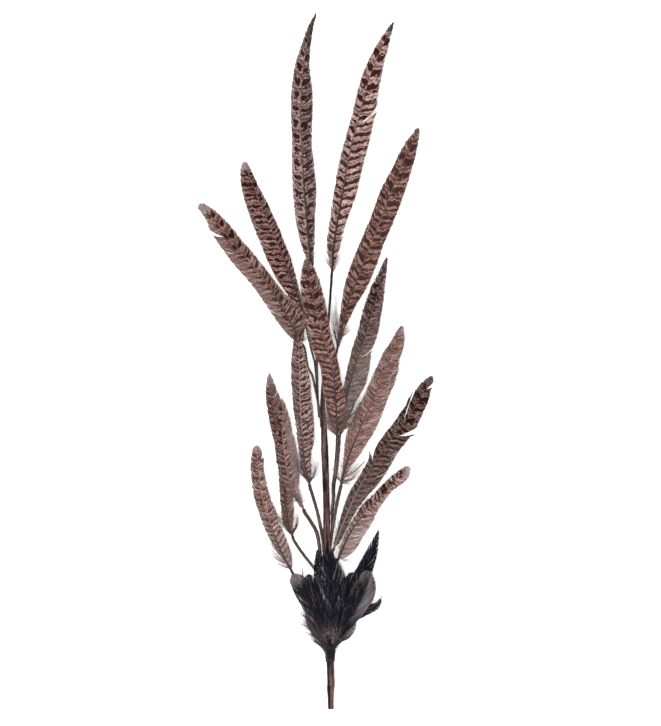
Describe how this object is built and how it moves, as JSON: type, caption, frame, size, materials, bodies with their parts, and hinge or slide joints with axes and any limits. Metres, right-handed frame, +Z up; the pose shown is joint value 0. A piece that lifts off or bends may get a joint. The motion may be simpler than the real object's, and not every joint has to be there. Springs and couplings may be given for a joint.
{
  "type": "pheasant feather spray",
  "caption": "Spray of long barred pheasant tail feathers on tape-wrapped wires joined to one stem, with a tuft of black feathers low on the stem, lying flat.",
  "frame": {"origin": "middle of the spray's outline on the surface that it lies on", "axes": "+Y along the stem from its cut end to the feather tips, +Z up from the surface, +X to the right as the front is looked at"},
  "size_m": [0.2378, 0.6984, 0.0337],
  "materials": {
    "stem_tape": "reddish brown floral tape wound in a spiral, matt and slightly waxy",
    "branch_tape": "dark brown floral tape wound in a spiral, matt",
    "binding_tape": "black binding tape, matt",
    "barred_feather": "pinkish brown vanes with dark brown bars and paler grey brown down at the quill, soft silky sheen",
    "black_feather": "black vanes with a blue grey sheen",
    "brown_feather": "loose grey brown down, matt"
  },
  "bodies": {
    "root": {"main_stem": "stem_tape", "branch_front": "branch_tape", "branch_top_left": "branch_tape", "branch_upper_right": "branch_tape", "branch_upper_left": "branch_tape", "branch_far_left": "branch_tape", "branch_middle_left": "branch_tape", "branch_middle_right": "branch_tape", "branch_right": "branch_tape", "branch_low_left_back": "branch_tape", "branch_low_left_front": "branch_tape", "branch_bottom_left": "branch_tape", "branch_bottom_right": "branch_tape", "tuft_binding": "binding_tape", "feather_top_left": "barred_feather", "feather_top_right": "barred_feather", "feather_upper_right": "barred_feather", "feather_upper_left": "barred_feather", "feather_far_left": "barred_feather", "feather_front": "barred_feather", "feather_front_right": "barred_feather", "feather_middle_left": "barred_feather", "feather_middle_right": "barred_feather", "feather_right": "barred_feather", "feather_low_left_back": "barred_feather", "feather_low_left_front": "barred_feather", "feather_bottom_left": "barred_feather", "feather_bottom_right": "barred_feather", "tuft_centre": "black_feather", "tuft_left_small": "black_feather", "tuft_left": "black_feather", "tuft_right_tall": "black_feather", "tuft_right_round": "black_feather", "tuft_right_low": "black_feather", "tuft_right_brown": "brown_feather", "tuft_left_brown": "brown_feather", "tuft_under_left": "black_feather", "tuft_under_right": "black_feather"}
  },
  "joints": []
}
